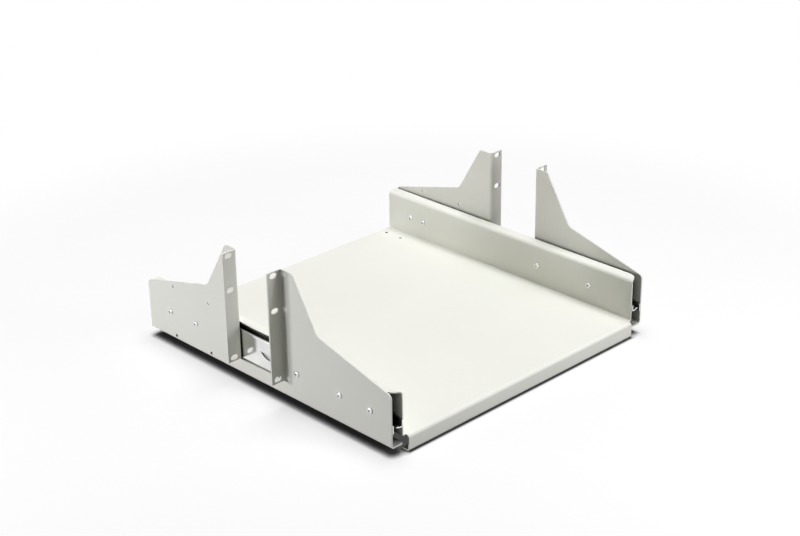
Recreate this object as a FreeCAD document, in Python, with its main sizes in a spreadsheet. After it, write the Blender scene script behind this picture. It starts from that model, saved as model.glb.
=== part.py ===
import FreeCAD
import Part
import math
import os
import re
import Sketcher

# A sliding equipment shelf for a two-post rack, in millimetres.
# X runs across the rack, +Y to its rear, +Z up. The tray's lips stand on z = 0.

SIZES = (
    ("panel_width", "482.6", "width over the ears, as the rack standard has it"),
    ("slot_inset", "8.75", "ear's outer edge to the middle of its slots"),
    ("ear_width", "19.55", "how far an ear stands out from its plate"),
    ("bracket_sheet", "2.0", "sheet of the brackets"),
    ("bracket_length", "441.4", "front end to rear end of a bracket"),
    ("bracket_centre", "2.0", "middle of the post, measured back from the shelf's middle"),
    ("bracket_bottom", "10.5", "height of a bracket's lower face"),
    ("slot_margin_top", "4.95", "middle of the highest slots to the ears' upper edge"),
    ("bracket_end_top", "77.8", "height of the plate at its two ends"),
    ("bracket_bend", "2.0", "inside radius of a bracket's bends"),
    ("flange_width", "18.7", "width of the folded strip along a bracket's foot"),
    ("flange_corner", "3.0", "radius of the strip's two corners"),
    ("ear_gap", "78.6", "room for the post between front and rear ear"),
    ("slot_margin_foot", "5.1", "middle of the lowest slots to the ears' lower edge"),
    ("ear_corner", "1.5", "radius of the ears' outer corners"),
    ("window_drop", "1.4", "web that joins a bracket's halves, below the ears' lower edge"),
    ("relief_width", "2.6", "cut beside each ear's fold"),
    ("top_reach", "18.1", "length of the level edge beside an ear"),
    ("top_corner", "3.0", "radius where the level edge turns down"),
    ("knee_reach", "57.3", "distance from an ear to the knee of the sloping edge"),
    ("knee_height", "109.6", "height of the knee"),
    ("knee_radius", "14.0", "radius in the knee"),
    ("end_corner", "6.0", "radius of a plate's upper end corners"),
    ("slot_length", "10.2", "length of a rack slot"),
    ("slot_height", "7.1", "height of a rack slot"),
    ("slot_bottom", "36.3", "height of the lowest rack slots"),
    ("slot_pitch", "44.45", "one rack unit"),
    ("small_hole", "2.0", "radius of the small holes in plate and deck"),
    ("small_hole_low", "16.6", "height of the lower small holes"),
    ("small_hole_high", "84.9", "height of the upper small holes"),
    ("slide_height", "45.7", "height of a slide"),
    ("slide_thickness", "16.0", "thickness of a slide"),
    ("slide_centre", "47.5", "height of a slide's middle"),
    ("slide_sheet", "1.5", "sheet of the outer and inner members"),
    ("middle_sheet", "1.3", "sheet of the intermediate member"),
    ("member_bend", "0.5", "inside radius of the outer and inner members' bends"),
    ("middle_bend", "0.2", "inside radius of the intermediate member's bends"),
    ("cage_sheet", "0.6", "sheet of the ball cages"),
    ("ball_radius", "2.0", "radius of a ball"),
    ("race_clearance", "0.1", "room between a ball and its races"),
    ("cage_clearance", "0.08", "room between a ball and its cage"),
    ("ball_inset", "4.8", "outer balls, from the tray's wall"),
    ("row_offset", "3.6", "outer balls to inner balls, across the slide"),
    ("race_step", "0.7", "how far a flat lies beyond the middle of its balls"),
    ("middle_web", "2.9", "plate to the intermediate member's web"),
    ("outer_cage_web", "1.9", "plate to the outer cage's web"),
    ("inner_cage_web", "4.6", "plate to the inner cage's web"),
    ("outer_cage_reach", "14.0", "plate to the outer cage's edge"),
    ("inner_cage_reach", "10.6", "plate to the inner cage's edge"),
    ("cage_strip", "0.7", "thickness of the strip that holds the balls"),
    ("outer_lip_turn", "25", "angle at which the outer race ends"),
    ("middle_lip_turn", "30", "angle at which the intermediate race ends"),
    ("inner_lip_turn", "55", "angle at which the inner race ends"),
    ("outer_overhang", "0.3", "outer member's tongue, ahead of the brackets"),
    ("outer_inset", "20.7", "outer member's rear end, inside the brackets"),
    ("middle_front_inset", "22.7", "intermediate member's front end, inside the brackets"),
    ("middle_rear_inset", "26.9", "intermediate member's rear end, inside the brackets"),
    ("outer_setback", "21.0", "outer member's races, behind its tongue's end"),
    ("outer_tongue_top", "-8.0", "top of the outer member's tongue, from the slide's middle"),
    ("outer_tongue_foot", "-18.5", "foot of the outer member's tongue, from the slide's middle"),
    ("inner_setback", "19.0", "inner member's upper race, behind the lower one's end"),
    ("inner_step_top", "-1.5", "inner web where its front end steps down, from the slide's middle"),
    ("inner_step_end", "-6.0", "inner web at its front end, from the slide's middle"),
    ("inner_overhang", "0.3", "inner member's lower race, ahead of the brackets"),
    ("inner_inset", "30.7", "inner member's rear end, inside the brackets"),
    ("cage_centre", "0.0", "middle of the cages with the shelf closed"),
    ("cage_length", "170.0", "length of a cage"),
    ("cage_end", "9.0", "end of a cage to its last ball"),
    ("access_chord", "32.0", "width of the half-moon hole in the outer web"),
    ("access_depth", "7.6", "depth of the half-moon hole"),
    ("access_level", "4.6", "half-moon hole's straight edge above the slide's middle"),
    ("access_shift", "11.0", "half-moon hole, ahead of the post's middle"),
    ("bumper_length", "5.5", "length of the rear stop"),
    ("bumper_height", "26.0", "height of the rear stop"),
    ("bumper_width", "10.5", "width of the rear stop"),
    ("bumper_corner", "2.0", "radius of the rear stop's corners"),
    ("tray_sheet", "1.5", "sheet of the tray"),
    ("tray_overhang", "4.6", "how much longer the tray is than a bracket"),
    ("tray_height", "77.0", "height of the side walls' flanges"),
    ("deck_height", "20.9", "height of the deck's upper face"),
    ("wall_front_inset", "5.2", "front end of the side walls, inside the lip's face"),
    ("wall_rear_inset", "1.5", "rear end of the side walls, inside the lip's face"),
    ("wall_bend", "1.5", "inside radius between deck and wall"),
    ("rim_bend", "3.5", "inside radius between wall and flange"),
    ("rim_gap", "2.95", "flange of a side wall to the bracket's plate"),
    ("rim_front_corner", "16.0", "radius of a flange's front corner"),
    ("rim_rear_corner", "2.0", "radius of a flange's rear corner"),
    ("lip_inset", "5.4", "a lip's side end, inside the wall's outer face"),
    ("lip_bend", "3.0", "inside radius between deck and lip"),
    ("lip_overlap", "1.0", "how far a lip's section runs into the deck"),
    ("hem_bend", "1.5", "inside radius between lip and its return"),
    ("hem_depth", "11.0", "width of a lip's return"),
    ("deck_hole_inset", "19.35", "deck holes, inside the wall's outer face"),
    ("deck_hole_front", "41.7", "first deck hole to the rear lip's face"),
    ("deck_hole_rear", "13.2", "second deck hole to the rear lip's face"),
    ("plate_hole_rear", "52.3", "rear small hole to a bracket's rear end"),
    ("bracket_screw_a", "33.3", "first bracket screw, behind the bracket's front end"),
    ("bracket_screw_b", "84.1", "second bracket screw, behind the bracket's front end"),
    ("bracket_screw_c", "21.7", "third bracket screw, ahead of the front ear"),
    ("bracket_screw_d", "94.3", "fourth bracket screw, ahead of the bracket's rear end"),
    ("bracket_screw_e", "43.5", "fifth bracket screw, ahead of the bracket's rear end"),
    ("tray_screw_a", "75.4", "first tray screw, behind the front lip's face"),
    ("tray_screw_b", "163.5", "second tray screw, behind the front lip's face"),
    ("tray_screw_c", "69.6", "third tray screw, ahead of the rear lip's face"),
    ("tray_screw_d", "44.6", "fourth tray screw, ahead of the rear lip's face"),
    ("screw_radius", "2.0", "radius of a screw's shank"),
    ("screw_clearance", "0.3", "room around a screw's shank"),
    ("head_radius", "3.9", "radius of a screw's head"),
    ("head_height", "2.3", "height of a screw's head"),
    ("head_rounding", "1.4", "radius on a screw's head"),
    ("recess_length", "4.4", "length of a bar of the cross recess"),
    ("recess_width", "0.9", "width of a bar of the cross recess"),
    ("recess_depth", "1.5", "depth of the cross recess"),
)

DERIVED = (
    ("bracket_width", "panel_width - 2 * ear_width", "width over the two bracket plates"),
    ("bracket_top", "slot_bottom + 3 * slot_pitch + slot_margin_top", "height of the ears' upper edge"),
    ("ear_bottom", "slot_bottom - slot_margin_foot", "height of the ears' lower edge"),
    ("window_bottom", "ear_bottom - window_drop", "height of the web between the ears"),
    ("ear_face", "ear_gap / 2 + bracket_sheet", "outside of an ear, from the post's middle"),
    ("half_length", "bracket_length / 2", "half of a bracket"),
    ("race_radius", "ball_radius + race_clearance", "radius of a race"),
    ("race_outside", "race_radius + slide_sheet", "back of an outer or inner race"),
    ("middle_outside", "race_radius + middle_sheet", "back of an intermediate race"),
    ("outer_ball_in", "slide_thickness - ball_inset", "plate to the outer balls"),
    ("outer_ball_up", "slide_height / 2 - race_outside", "slide's middle to the outer balls"),
    ("inner_ball_in", "outer_ball_in - row_offset", "plate to the inner balls"),
    ("ball_run", "cage_length - 2 * cage_end", "first ball to last ball"),
    ("row_pitch", "race_radius + middle_outside", "outer ball to inner ball"),
    ("row_rise", "sqrt(row_pitch ^ 2 - row_offset ^ 2)", "outer ball above inner ball"),
    ("inner_ball_up", "outer_ball_up - row_rise", "slide's middle to the inner balls"),
    ("lean_in", "row_offset / row_pitch", "slope of the line through both balls"),
    ("lean_up", "row_rise / row_pitch", "rise of the line through both balls"),
    ("plate_inside", "bracket_width / 2 - bracket_sheet", "inner face of a plate"),
    ("wall_outside", "plate_inside - slide_thickness", "outer face of a tray wall"),
    ("rim_width", "2 * (plate_inside - rim_gap)", "width over the two flanges"),
    ("lip_width", "2 * (wall_outside - lip_inset)", "width of the two lips"),
    ("deck_hole_across", "wall_outside - deck_hole_inset", "deck holes, out from the middle"),
    ("tray_length", "bracket_length + tray_overhang", "lip to lip"),
    ("wall_front", "wall_front_inset - tray_length / 2", "front end of the side walls"),
    ("wall_rear", "tray_length / 2 - wall_rear_inset", "rear end of the side walls"),
    ("bracket_front", "bracket_centre - half_length", "front end of the brackets"),
    ("bracket_rear", "bracket_centre + half_length", "rear end of the brackets"),
    ("outer_front", "bracket_front - outer_overhang", "front end of the outer member"),
    ("outer_length", "bracket_rear - outer_inset - outer_front", "length of the outer member"),
    ("middle_front", "bracket_front + middle_front_inset", "front end of the intermediate member"),
    ("middle_length", "bracket_rear - middle_rear_inset - middle_front", "length of that member"),
    ("inner_front", "bracket_front - inner_overhang", "front end of the inner member"),
    ("inner_length", "bracket_rear - inner_inset - inner_front", "length of the inner member"),
    ("access_centre", "bracket_centre - access_shift", "middle of the half-moon hole"),
    ("slide_hole", "screw_radius + screw_clearance", "radius of a screw's hole"),
    ("access_radius", "(access_chord ^ 2 / 4 + access_depth ^ 2) / (2 * access_depth)", "half-moon"),
)

# Places of the screws and holes along the shelf
PLACES = (
    ("bracket_screw_1", "bracket_front + bracket_screw_a"),
    ("bracket_screw_2", "bracket_front + bracket_screw_b"),
    ("bracket_screw_3", "bracket_centre - ear_face - bracket_screw_c"),
    ("bracket_screw_4", "bracket_rear - bracket_screw_d"),
    ("bracket_screw_5", "bracket_rear - bracket_screw_e"),
    ("tray_screw_1", "tray_screw_a - tray_length / 2"),
    ("tray_screw_2", "tray_screw_b - tray_length / 2"),
    ("tray_screw_3", "tray_length / 2 - tray_screw_c"),
    ("tray_screw_4", "tray_length / 2 - tray_screw_d"),
    ("plate_hole_1", "bracket_centre + ear_face + knee_reach"),
    ("plate_hole_2", "bracket_rear - plate_hole_rear"),
    ("deck_hole_1", "tray_length / 2 - deck_hole_front"),
    ("deck_hole_2", "tray_length / 2 - deck_hole_rear"),
)
BRACKET_SCREWS = tuple(f"bracket_screw_{number}" for number in range(1, 6))
TRAY_SCREWS = tuple(f"tray_screw_{number}" for number in range(1, 5))
PLATE_HOLES = ("plate_hole_1", "plate_hole_2")
DECK_HOLES = ("deck_hole_1", "deck_hole_2")
SCREW_TURNS = ("12", "-31", "40", "-8", "22")
BALL_COUNT = 5
LEFT = -1
RIGHT = 1
NAMES = {LEFT: "left", RIGHT: "right"}

os.makedirs("parts", exist_ok=True)
document = FreeCAD.newDocument("sliding_shelf")
sheet = document.addObject("Spreadsheet::Sheet", "Sizes")
rows = [(alias, number, note) for alias, number, note in SIZES]
rows += [(alias, "=" + formula, note) for alias, formula, note in DERIVED]
rows += [(alias, "=" + formula, "place along the shelf") for alias, formula in PLACES]
for number, (alias, content, note) in enumerate(rows, start=1):
    sheet.set(f"A{number}", note)
    sheet.set(f"B{number}", content)
    sheet.setAlias(f"B{number}", alias)
ALIASES = {alias for alias, content, note in rows}
document.recompute()


def bind(expression):
    """Point the plain names in an expression at the sheet."""
    return re.sub(r"[a-z_]+[a-z_0-9]*",
                  lambda word: "Sizes." + word.group() if word.group() in ALIASES else word.group(),
                  expression)


def size(expression):
    """Give the number that an expression stands for."""
    return float(sheet.evalExpression(bind(expression)))


def new_body(label, x="0", y="0", z="0"):
    """Start a sub-part whose own origin stands at x, y, z of the shelf."""
    body = document.addObject("PartDesign::Body", label)
    body.Label = label
    body.AllowCompound = True
    for axis, expression in (("x", x), ("y", y), ("z", z)):
        body.setExpression(f"Placement.Base.{axis}", bind(expression))
    return body


def new_sketch(body, label, plane, offset="0"):
    """Lay a sketch on one of the body's own planes, moved along the plane's normal."""
    sketch = body.newObject("Sketcher::SketchObject", label)
    support = [item for item in body.Origin.OriginFeatures if item.Role == plane][0]
    sketch.AttachmentSupport = [(support, "")]
    sketch.MapMode = "FlatFace"
    sketch.setExpression("AttachmentOffset.Base.z", bind(offset))
    return sketch


def tie(sketch, constraint, expression):
    """Add a dimension and bind it to the sheet."""
    index = sketch.addConstraint(constraint)
    sketch.setExpression(f"Constraints[{index}]", bind(expression))


def draw(sketch, corners):
    """Draw a closed outline. A corner is (u, v), with (centre u, centre v, radius) if an arc follows."""
    points = [FreeCAD.Vector(size(corner[0]), size(corner[1]), 0) for corner in corners]
    ends = []
    for index, corner in enumerate(corners):
        start = points[index]
        stop = points[(index + 1) % len(points)]
        if len(corner) == 2:
            line = sketch.addGeometry(Part.LineSegment(start, stop))
            ends.append((line, 1, 2))
            continue
        centre = FreeCAD.Vector(size(corner[2][0]), size(corner[2][1]), 0)
        first = math.atan2(start.y - centre.y, start.x - centre.x)
        last = math.atan2(stop.y - centre.y, stop.x - centre.x)
        forward = (last - first) % (2 * math.pi) < math.pi
        if not forward:
            first, last = last, first
        circle = Part.Circle(centre, FreeCAD.Vector(0, 0, 1), size(corner[2][2]))
        arc = sketch.addGeometry(Part.ArcOfCircle(circle, first, last))
        ends.append((arc, 1, 2) if forward else (arc, 2, 1))
        tie(sketch, Sketcher.Constraint("Radius", arc, size(corner[2][2])), corner[2][2])
    for index, (item, begin, finish) in enumerate(ends):
        following = ends[(index + 1) % len(ends)]
        sketch.addConstraint(Sketcher.Constraint("Coincident", item, finish, following[0], following[1]))
        for kind, expression, value in (("DistanceX", corners[index][0], points[index].x),
                                        ("DistanceY", corners[index][1], points[index].y)):
            tie(sketch, Sketcher.Constraint(kind, -1, 1, item, begin, value), expression)


def draw_circles(sketch, centres, radius):
    """Draw circles of one radius at the given centres."""
    for u, v in centres:
        middle = FreeCAD.Vector(size(u), size(v), 0)
        circle = sketch.addGeometry(Part.Circle(middle, FreeCAD.Vector(0, 0, 1), size(radius)))
        tie(sketch, Sketcher.Constraint("Radius", circle, size(radius)), radius)
        tie(sketch, Sketcher.Constraint("DistanceX", -1, 1, circle, 3, middle.x), u)
        tie(sketch, Sketcher.Constraint("DistanceY", -1, 1, circle, 3, middle.y), v)


def pad(body, sketch, length, label, backward=False, symmetric=False):
    """Raise a sketch into solid material."""
    feature = body.newObject("PartDesign::Pad", label)
    feature.Profile = sketch
    feature.setExpression("Length", bind(length))
    feature.Reversed = backward
    feature.SideType = "Symmetric" if symmetric else "One side"
    body.Tip = feature
    document.recompute()
    return feature


def cut(body, sketch, label, depth="0", backward=False):
    """Cut a sketch out of the body, through everything on both sides unless a depth is given."""
    before = body.Shape.Volume
    feature = body.newObject("PartDesign::Pocket", label)
    feature.Profile = sketch
    if depth == "0":
        feature.Type = "ThroughAll"
        feature.SideType = "Symmetric"
    else:
        feature.setExpression("Length", bind(depth))
        feature.Reversed = backward
    body.Tip = feature
    document.recompute()
    if not body.Shape.Volume < before - 0.01:
        raise ValueError(f"{body.Label}: {label} cuts nothing")
    return feature


def round_edges(body, label, radius, *lines):
    """Round the edges that lie on the given lines. A line names two or three of x, y and z."""
    wanted = [[None if item is None else size(item) for item in line] for line in lines]
    base = body.Tip
    names = []
    for number, edge in enumerate(base.Shape.Edges, start=1):
        ends = [vertex.Point for vertex in edge.Vertexes]
        for line in wanted:
            if all(item is None or abs(end[axis] - item) < 0.02
                   for end in ends for axis, item in enumerate(line)):
                names.append(f"Edge{number}")
                break
    if len(names) < len(lines):
        raise ValueError(f"{body.Label}: {label} found {len(names)} edges for {len(lines)} lines")
    feature = body.newObject("PartDesign::Fillet", label)
    feature.Base = (base, names)
    feature.setExpression("Radius", bind(radius))
    body.Tip = feature
    document.recompute()
    return feature


def inward(side, expression):
    """Turn a distance towards the middle of the shelf into a distance along X."""
    return expression if side == LEFT else f"-({expression})"


def box(left, low, right, high):
    """Give the corners of a rectangle."""
    return ((left, low), (right, low), (right, high), (left, high))


def bracket(side):
    """Fold one bracket: a plate, its foot and the two ears that clasp the post."""
    body = new_body(NAMES[side] + "_bracket", f"{side} * bracket_width / 2", "bracket_centre")
    knee = "ear_face + knee_reach"
    level = "ear_face + top_reach"
    notch = "ear_face + relief_width"
    rear = (("half_length", "bracket_bottom"), ("half_length", "bracket_end_top"), (knee, "knee_height"),
            (level, "bracket_top"), ("ear_gap / 2", "bracket_top"), ("ear_gap / 2", "ear_bottom"),
            (notch, "ear_bottom"), (notch, "window_bottom"))
    front = tuple((f"-({along})", up) for along, up in reversed(rear))
    plate = new_sketch(body, "PlateOutline", "YZ_Plane")
    draw(plate, rear + front)
    pad(body, plate, "bracket_sheet", "Plate", backward=side == RIGHT)

    tip = inward(side, "-ear_width")
    inner = inward(side, "bracket_sheet")
    for name, offset, backward in (("Front", "ear_face", True), ("Rear", "-ear_face", False)):
        ear = new_sketch(body, name + "EarOutline", "XZ_Plane", offset)
        draw(ear, box(tip, "ear_bottom", inner, "bracket_top"))
        pad(body, ear, "bracket_sheet", name + "Ear", backward=backward)
    foot = new_sketch(body, "FootOutline", "XZ_Plane")
    top = "bracket_bottom + bracket_sheet"
    end = inward(side, "flange_width")
    draw(foot, box("0", "bracket_bottom", end, top))
    pad(body, foot, "bracket_length", "Foot", symmetric=True)

    outside = "bracket_bend + bracket_sheet"
    round_edges(body, "InnerBends", "bracket_bend", ("0", "ear_face", None), ("0", "-ear_face", None),
                (inner, None, top))
    round_edges(body, "OuterBends", outside, (inner, "ear_gap / 2", None), (inner, "-ear_gap / 2", None),
                ("0", None, "bracket_bottom"))
    round_edges(body, "EarCorners", "ear_corner", (tip, None, "bracket_top"), (tip, None, "ear_bottom"))
    round_edges(body, "FootCorners", "flange_corner", (end, "half_length", None),
                (end, "-half_length", None))
    round_edges(body, "TopCorners", "top_corner", (None, level, "bracket_top"),
                (None, f"-({level})", "bracket_top"))
    round_edges(body, "Knees", "knee_radius", (None, knee, "knee_height"),
                (None, f"-({knee})", "knee_height"))
    round_edges(body, "EndCorners", "end_corner", (None, "half_length", "bracket_end_top"),
                (None, "-half_length", "bracket_end_top"))

    slots = new_sketch(body, "RackSlotOutlines", "XZ_Plane")
    centre = inward(side, "slot_inset - ear_width")
    for step in (0, 2, 3):
        slot(slots, centre, f"slot_bottom + {step} * slot_pitch", "slot_length", "slot_height")
    cut(body, slots, "RackSlots")
    holes = new_sketch(body, "SlideScrewHoles", "YZ_Plane")
    along = [f"{screw} - bracket_centre" for screw in BRACKET_SCREWS]
    draw_circles(holes, [(place, "slide_centre") for place in along], "slide_hole")
    small = new_sketch(body, "SmallHoles", "YZ_Plane")
    along = [f"{hole} - bracket_centre" for hole in PLATE_HOLES]
    heights = ("small_hole_low", "small_hole_high")
    draw_circles(small, [(place, height) for place in along for height in heights], "small_hole")
    cut(body, holes, "SlideScrewCuts")
    cut(body, small, "SmallCuts")
    return body


def slot(sketch, u, v, length, height):
    """Draw a slot with round ends that lies along the sketch's first axis."""
    radius = f"({height}) / 2"
    straight = f"(({length}) / 2 - {radius})"
    left = f"{u} - {straight}"
    right = f"{u} + {straight}"
    draw(sketch, ((left, f"{v} - {radius}"), (right, f"{v} - {radius}", (right, v, radius)),
                  (f"{right} + {radius}", v, (right, v, radius)), (right, f"{v} + {radius}"),
                  (left, f"{v} + {radius}", (left, v, radius)), (f"{left} - {radius}", v, (left, v, radius))))


def rolled(side, half):
    """Complete the upper half of a slide's section with its mirror image below the middle."""
    def place(across, up, arc=None, sign=""):
        corner = (inward(side, across), f"{sign}({up})")
        if arc is not None:
            corner += ((inward(side, arc[0]), f"{sign}({arc[1]})", arc[2]),)
        return corner

    upper = [place(*corner) for corner in half]
    lower = []
    for index in range(len(half) - 1, -1, -1):
        arc = half[index - 1][2] if index > 0 and len(half[index - 1]) == 3 else None
        lower.append(place(half[index][0], half[index][1], arc, "-"))
    return upper + lower


def rolled_member(side, kind, half, front, length):
    """Roll one slide member from the upper half of its section."""
    body = new_body(f"{NAMES[side]}_slide_{kind}_member", f"{side} * plate_inside",
                    f"{front} + {length} / 2", "slide_centre")
    section = new_sketch(body, "Section", "XZ_Plane")
    draw(section, rolled(side, half))
    pad(body, section, length, "RolledSection", symmetric=True)
    return body


def outer_member(side):
    """Make the channel that is screwed to the bracket."""
    ball = ("outer_ball_in", "outer_ball_up")
    under = "outer_ball_up + race_step"
    over = f"{under} + slide_sheet"
    corner = "slide_sheet + member_bend"
    back = "outer_ball_in - sqrt(race_outside ^ 2 - (race_step + slide_sheet) ^ 2)"
    half = (("0", f"{over} - ({corner})", (corner, f"{over} - ({corner})", corner)),
            (corner, over),
            (back, over, ball + ("race_outside",)),
            ("outer_ball_in + race_outside * cos(outer_lip_turn)",
             "outer_ball_up + race_outside * sin(outer_lip_turn)"),
            ("outer_ball_in + race_radius * cos(outer_lip_turn)",
             "outer_ball_up + race_radius * sin(outer_lip_turn)", ball + ("race_radius",)),
            ("outer_ball_in - sqrt(race_radius ^ 2 - race_step ^ 2)", under),
            (corner, under, (corner, f"{under} - member_bend", "member_bend")),
            ("slide_sheet", f"{under} - member_bend"))
    body = rolled_member(side, "outer", half, "outer_front", "outer_length")
    middle = "outer_front + outer_length / 2"
    holes = new_sketch(body, "BracketScrewHoles", "YZ_Plane")
    along = [f"{screw} - ({middle})" for screw in BRACKET_SCREWS]
    draw_circles(holes, [(place, "0") for place in along], "slide_hole")
    cut(body, holes, "BracketScrewCuts")
    moon = new_sketch(body, "AccessOutline", "YZ_Plane")
    place = f"access_centre - ({middle})"
    centre = (place, "access_level - access_depth + access_radius", "access_radius")
    draw(moon, ((f"{place} - access_chord / 2", "access_level", centre),
                (place, "access_level - access_depth", centre),
                (f"{place} + access_chord / 2", "access_level")))
    cut(body, moon, "AccessHole")
    reach = "outer_setback - outer_length / 2"
    trims = (("Over", "outer_tongue_top", "slide_height"), ("Under", "-slide_height", "outer_tongue_foot"))
    for name, low, high in trims:
        side_view = new_sketch(body, name + "TongueOutline", "YZ_Plane")
        draw(side_view, box("-outer_length", low, reach, high))
        cut(body, side_view, name + "Tongue")
    return body


def intermediate_member(side):
    """Make the member that rolls between the two rows of balls."""
    outer = ("outer_ball_in", "outer_ball_up")
    inner = ("inner_ball_in", "inner_ball_up")
    under = "inner_ball_up + race_step"
    over = f"{under} + middle_sheet"
    web = "middle_web"
    bend = "middle_sheet + middle_bend"
    half = ((web, f"{over} - ({bend})", (f"{web} + {bend}", f"{over} - ({bend})", bend)),
            (f"{web} + {bend}", over),
            ("inner_ball_in - sqrt(middle_outside ^ 2 - (race_step + middle_sheet) ^ 2)", over,
             inner + ("middle_outside",)),
            ("outer_ball_in - race_radius * lean_in", "outer_ball_up - race_radius * lean_up",
             outer + ("race_radius",)),
            ("outer_ball_in + race_radius * cos(middle_lip_turn)",
             "outer_ball_up - race_radius * sin(middle_lip_turn)"),
            ("outer_ball_in + middle_outside * cos(middle_lip_turn)",
             "outer_ball_up - middle_outside * sin(middle_lip_turn)", outer + ("middle_outside",)),
            ("inner_ball_in + race_radius * lean_in", "inner_ball_up + race_radius * lean_up",
             inner + ("race_radius",)),
            ("inner_ball_in - sqrt(race_radius ^ 2 - race_step ^ 2)", under),
            (f"{web} + {bend}", under, (f"{web} + {bend}", f"{under} - middle_bend", "middle_bend")),
            (f"{web} + middle_sheet", f"{under} - middle_bend"))
    return rolled_member(side, "intermediate", half, "middle_front", "middle_length")


def inner_member(side):
    """Make the member that is screwed to the tray's wall."""
    ball = ("inner_ball_in", "inner_ball_up")
    over = "inner_ball_up - race_step"
    under = f"{over} - slide_sheet"
    bend = "slide_sheet + member_bend"
    face = "slide_thickness"
    half = ((face, f"{over} - ({bend})", (f"{face} - ({bend})", f"{over} - ({bend})", bend)),
            (f"{face} - ({bend})", over),
            ("inner_ball_in + sqrt(race_radius ^ 2 - race_step ^ 2)", over, ball + ("race_radius",)),
            ("inner_ball_in - race_radius * cos(inner_lip_turn)",
             "inner_ball_up - race_radius * sin(inner_lip_turn)"),
            ("inner_ball_in - race_outside * cos(inner_lip_turn)",
             "inner_ball_up - race_outside * sin(inner_lip_turn)", ball + ("race_outside",)),
            ("inner_ball_in + sqrt(race_outside ^ 2 - (race_step + slide_sheet) ^ 2)", under),
            (f"{face} - ({bend})", under, (f"{face} - ({bend})", f"{under} - member_bend", "member_bend")),
            (f"{face} - slide_sheet", f"{under} - member_bend"))
    body = rolled_member(side, "inner", half, "inner_front", "inner_length")
    holes = new_sketch(body, "TrayScrewHoles", "YZ_Plane", inward(side, face))
    middle = "inner_front + inner_length / 2"
    along = [f"{screw} - ({middle})" for screw in TRAY_SCREWS]
    draw_circles(holes, [(place, "0") for place in along], "slide_hole")
    cut(body, holes, "TrayScrewCuts")
    end = "-inner_length / 2"
    step = new_sketch(body, "FrontStepOutline", "YZ_Plane")
    draw(step, ((f"{end} - 1", "inner_step_end"), (end, "inner_step_end"),
                (f"{end} + inner_setback", "inner_step_top"), (f"{end} + inner_setback", "slide_height"),
                (f"{end} - 1", "slide_height")))
    cut(body, step, "FrontStep")
    return body


def cage(side, row):
    """Bend one ball cage and punch the seats of its balls."""
    body = new_body(f"{NAMES[side]}_{row}_ball_cage", f"{side} * plate_inside", "cage_centre", "slide_centre")
    web = f"{row}_cage_web"
    over = f"{row}_ball_up + cage_strip / 2"
    under = f"{row}_ball_up - cage_strip / 2"
    bend = "cage_sheet"
    half = ((web, f"{over} - {bend}", (f"{web} + {bend}", f"{over} - {bend}", bend)),
            (f"{web} + {bend}", over),
            (f"{row}_cage_reach", over),
            (f"{row}_cage_reach", under),
            (f"{web} + cage_sheet", under))
    section = new_sketch(body, "Section", "XZ_Plane")
    draw(section, rolled(side, half))
    pad(body, section, "cage_length", "BentStrip", symmetric=True)
    seats = new_sketch(body, "BallSeats", "XY_Plane")
    across = inward(side, f"{row}_ball_in")
    centres = [(across, f"{index / (BALL_COUNT - 1) - 0.5} * ball_run") for index in range(BALL_COUNT)]
    draw_circles(seats, centres, "ball_radius + cage_clearance")
    cut(body, seats, "BallSeatCuts")
    return body


def balls(side, row):
    """Turn one ball and repeat it along both edges of its cage."""
    body = new_body(f"{NAMES[side]}_{row}_balls", f"{side} * (plate_inside - {row}_ball_in)",
                    "cage_centre - ball_run / 2", f"slide_centre - {row}_ball_up")
    half = new_sketch(body, "HalfDisc", "XY_Plane")
    arc = ("0", "0", "ball_radius")
    draw(half, (("0", "-ball_radius", arc), ("ball_radius", "0", arc), ("0", "ball_radius")))
    ball = body.newObject("PartDesign::Revolution", "Ball")
    ball.Profile = half
    ball.ReferenceAxis = (half, ["V_Axis"])
    body.Tip = ball
    document.recompute()
    pattern = body.newObject("PartDesign::LinearPattern", "BallRows")
    pattern.Originals = [ball]
    axes = {item.Role: item for item in body.Origin.OriginFeatures}
    pattern.Direction = (axes["Y_Axis"], [""])
    pattern.Direction2 = (axes["Z_Axis"], [""])
    pattern.setExpression("Length", bind("ball_run"))
    pattern.setExpression("Length2", bind(f"2 * {row}_ball_up"))
    pattern.Occurrences = BALL_COUNT
    pattern.Occurrences2 = 2
    body.Tip = pattern
    document.recompute()
    return body


def screws(side, label, face, places, reach, heads_out):
    """Make a row of pan-head screws whose heads rest on a face and whose tips reach into the slide."""
    body = new_body(f"{NAMES[side]}_{label}", f"{side} * {face}", "0", "slide_centre")
    out = (side == RIGHT) == heads_out
    centres = [(place, "0") for place in places]
    discs = new_sketch(body, "HeadDiscs", "YZ_Plane")
    draw_circles(discs, centres, "head_radius")
    pad(body, discs, "head_height", "Heads", backward=not out)
    top = "head_height" if out else "-head_height"
    round_edges(body, "HeadRounding", "head_rounding", (top, None, None))
    shanks = new_sketch(body, "ShankDiscs", "YZ_Plane")
    draw_circles(shanks, centres, "screw_radius")
    pad(body, shanks, reach, "Shanks", backward=out)
    for number, extra in enumerate((0, 90)):
        bars = new_sketch(body, f"RecessBars{number + 1}", "YZ_Plane", top)
        for place, turn in zip(places, SCREW_TURNS):
            angle = f"({turn} + {extra})"
            corners = []
            for u, v in ((-1, -1), (1, -1), (1, 1), (-1, 1)):
                along = f"({u} * recess_length / 2)"
                across = f"({v} * recess_width / 2)"
                corners.append((f"{place} + {along} * cos{angle} - {across} * sin{angle}",
                                f"{along} * sin{angle} + {across} * cos{angle}"))
            draw(bars, corners)
        cut(body, bars, f"Recess{number + 1}", "recess_depth", backward=not out)
    return body


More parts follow.
